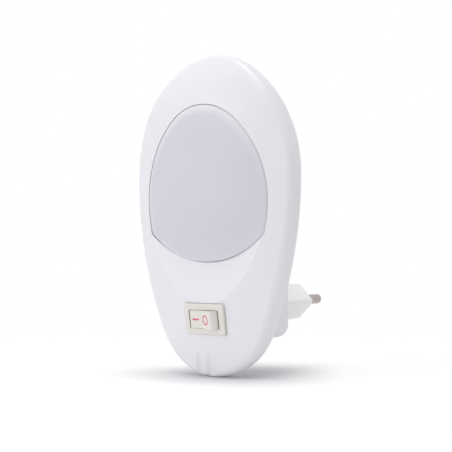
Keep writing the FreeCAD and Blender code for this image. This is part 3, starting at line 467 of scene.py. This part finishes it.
def build_lens():
    """Closed lens in rings: the front from its centre out, then the back to the centre again."""
    rim_insets = [RIM_WIDTH * (i / RIM_STEPS) ** RIM_CROWDING - RIM_EASE for i in range(RIM_STEPS + 1)]
    insets = rim_insets + INNER_INSETS
    front = [shrunk_ring(insets[-1], k, 0) for k in reversed(CENTRE_SHARES)]
    front += [lens_ring(i, 0) for i in reversed(insets)]
    back = [[(x, LENS_BACK_Y, z) for x, z in lens_outline(i)] for i in (0, LENS_WALL)]
    back += [lens_ring(i, LENS_WALL) for i in insets if i >= LENS_WALL]
    back += [shrunk_ring(insets[-1], k, LENS_WALL) for k in CENTRE_SHARES]
    bm = bmesh.new()
    rings = [[bm.verts.new(Vector(p) * MM) for p in ring] for ring in front + back]
    for near, far in zip(rings, rings[1:]):
        for i in range(len(near)):
            n = (i + 1) % len(near)
            bm.faces.new((near[i], near[n], far[n], far[i]))
    for ring, depth in ((rings[0], 0), (rings[-1], LENS_WALL)):
        x, z = LENS_CENTRE
        tip = bm.verts.new(Vector((x, crown_y(x, z) + foot_dip(x, z) + depth, z)) * MM)
        for i in range(len(ring)):
            bm.faces.new((ring[i], ring[(i + 1) % len(ring)], tip))
    lens = finish_piece("lens_dome", bm, lens_frost, "casing", smooth_angle=50)
    # Weights of the painted rim highlight: higher near the edge, and higher towards the top
    rim = lens.data.attributes.new("rim", "FLOAT", "POINT")
    around = len(rings[0])
    first_rim = (len(CENTRE_SHARES) + len(INNER_INSETS)) * around
    for k, inset in enumerate(reversed(rim_insets)):
        near_edge = max(0.0, 1 - inset / RIM_WIDTH)
        for vertex in range(first_rim + k * around, first_rim + (k + 1) * around):
            height = (lens.data.vertices[vertex].co.z / MM - LENS_CENTRE[1]) / RIM_HIGHLIGHT_HEIGHT
            rim.data[vertex].value = near_edge * max(RIM_LEAST_HIGHLIGHT, min(1.0, height))
    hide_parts("diffuser_lens")


build_lens()


# Stage, lamps and camera

# Room light: its tint, and the side it is brightest on
ROOM_TINT = (0.98, 0.985, 1.0, 1)
ROOM_SIDE = (-0.5, -0.45, 0.75)

# Floor, lengths in mm: it fades to white between two distances from its middle, and a painted shadow
# darkens it round the object's foot
FLOOR_HALF_SIZE = 4000
FLOOR_MIDDLE_Y = -30
FLOOR_FADE_START = 90
FLOOR_FADE_END = 260
FLOOR_PALE = (0.9, 0.9, 0.9)
CONTACT_SHADE = (0.38, 0.38, 0.41)
CONTACT_REACH = 30
CONTACT_DEEP = 0.35

# Camera fitted to the photograph, in mm: a long lens that looks almost level
CAMERA_PLACE = (291.343, -452.936, 27.374)
CAMERA_AIM = (-2.69, -31.88, 30.10)
CAMERA_LENS = 104.65
CAMERA_SENSOR = 36


def is_any_view_ray(tree):
    """1 for camera, mirror and see-through rays."""
    path = tree.nodes.new("ShaderNodeLightPath")
    total = path.outputs["Is Camera Ray"]
    for name in ("Is Glossy Ray", "Is Transmission Ray"):
        add = tree.nodes.new("ShaderNodeMath")
        add.operation = "MAXIMUM"
        tree.links.new(total, add.inputs[0])
        tree.links.new(path.outputs[name], add.inputs[1])
        total = add.outputs[0]
    return total


def build_world(dim, bright):
    """White to look at; its light on the object runs from dim to bright towards ROOM_SIDE."""
    world = bpy.data.worlds.new("studio")
    bpy.context.scene.world = world
    world.use_nodes = True
    tree = world.node_tree
    room = tree.nodes["Background"]
    room.inputs["Color"].default_value = ROOM_TINT
    toward = tree.nodes.new("ShaderNodeVectorMath")
    toward.operation = "DOT_PRODUCT"
    toward.inputs[1].default_value = Vector(ROOM_SIDE).normalized()
    tree.links.new(tree.nodes.new("ShaderNodeTexCoord").outputs["Generated"], toward.inputs[0])
    tree.links.new(remap(tree, toward.outputs["Value"], -1, 1, dim, bright), room.inputs["Strength"])
    white = tree.nodes.new("ShaderNodeBackground")
    white.inputs["Color"].default_value = (1, 1, 1, 1)
    white.inputs["Strength"].default_value = 1.0
    mix = tree.nodes.new("ShaderNodeMixShader")
    tree.links.new(is_any_view_ray(tree), mix.inputs[0])
    tree.links.new(room.outputs[0], mix.inputs[1])
    tree.links.new(white.outputs[0], mix.inputs[2])
    tree.links.new(mix.outputs[0], tree.nodes["World Output"].inputs["Surface"])


def build_floor(height, lift):
    """Pale floor, brighter by lift to the eye, that takes the shadow, has a painted shadow round the
    object's foot, and fades to white.
    """
    bm = bmesh.new()
    bmesh.ops.create_grid(bm, x_segments=8, y_segments=8, size=FLOOR_HALF_SIZE * MM)
    mesh = bpy.data.meshes.new("floor")
    bm.to_mesh(mesh)
    bm.free()
    floor = bpy.data.objects.new("floor", mesh)
    floor.location = (0, FLOOR_MIDDLE_Y * MM, height)
    bpy.context.scene.collection.objects.link(floor)
    mat, tree, shader, coord = new_material("floor_white", FLOOR_PALE, 0.6)
    viewed = is_any_view_ray(tree)
    # Painted shadow: the floor's colour darkens near the object, where the occlusion mask finds it, in
    # view rays only
    painted_contact_shadow = remap(tree, crevice(tree, CONTACT_REACH, samples=12), CONTACT_DEEP, 1, 1, 0)
    shaded = mix_colour(tree, multiply(tree, viewed, painted_contact_shadow), FLOOR_PALE, CONTACT_SHADE)
    tree.links.new(shaded, shader.inputs["Base Color"])
    glow = tree.nodes.new("ShaderNodeEmission")
    glow.inputs["Color"].default_value = (1, 1, 1, 1)
    tree.links.new(multiply(tree, viewed, lift), glow.inputs["Strength"])
    add = tree.nodes.new("ShaderNodeAddShader")
    tree.links.new(shader.outputs[0], add.inputs[0])
    tree.links.new(glow.outputs[0], add.inputs[1])
    white = tree.nodes.new("ShaderNodeEmission")
    white.inputs["Color"].default_value = (1, 1, 1, 1)
    distance = tree.nodes.new("ShaderNodeVectorMath")
    distance.operation = "LENGTH"
    tree.links.new(coord, distance.inputs[0])
    from_middle = distance.outputs["Value"]
    away = remap(tree, from_middle, FLOOR_FADE_START * MM, FLOOR_FADE_END * MM, 0, 1)
    mix = tree.nodes.new("ShaderNodeMixShader")
    tree.links.new(multiply(tree, viewed, away), mix.inputs[0])
    tree.links.new(add.outputs[0], mix.inputs[1])
    tree.links.new(white.outputs[0], mix.inputs[2])
    tree.links.new(mix.outputs[0], tree.nodes["Material Output"].inputs["Surface"])
    mesh.materials.append(mat)


def add_light(name, place_mm, aim_mm, size, power):
    """Round lamp of a size in metres and a power in watts."""
    data = bpy.data.lights.new(name, "AREA")
    data.shape = "DISK"
    data.size = size
    data.energy = power
    light = bpy.data.objects.new(name, data)
    light.location = Vector(place_mm) * MM
    light.rotation_euler = (Vector(aim_mm) * MM - light.location).to_track_quat("-Z", "Y").to_euler()
    bpy.context.scene.collection.objects.link(light)


def add_camera():
    data = bpy.data.cameras.new("camera")
    data.sensor_width = CAMERA_SENSOR
    data.lens = CAMERA_LENS
    data.clip_start = 0.01
    camera = bpy.data.objects.new("camera", data)
    camera.location = Vector(CAMERA_PLACE) * MM
    aim = Vector(CAMERA_AIM) * MM
    camera.rotation_euler = (aim - camera.location).to_track_quat("-Z", "Y").to_euler()
    bpy.context.scene.collection.objects.link(camera)
    bpy.context.scene.camera = camera


build_world(dim=0.12, bright=0.86)
build_floor(height=cad_box[0][2], lift=0.12)
add_light("key", (-380, -820, 300), (0, -30, 35), size=0.45, power=1.0)
add_light("top", (60, -60, 900), (0, -30, 35), size=0.6, power=2.6)
add_light("side", (600, 300, 450), (0, -30, 0), size=0.5, power=0.3)
add_camera()
bpy.context.scene.view_settings.view_transform = "Standard"
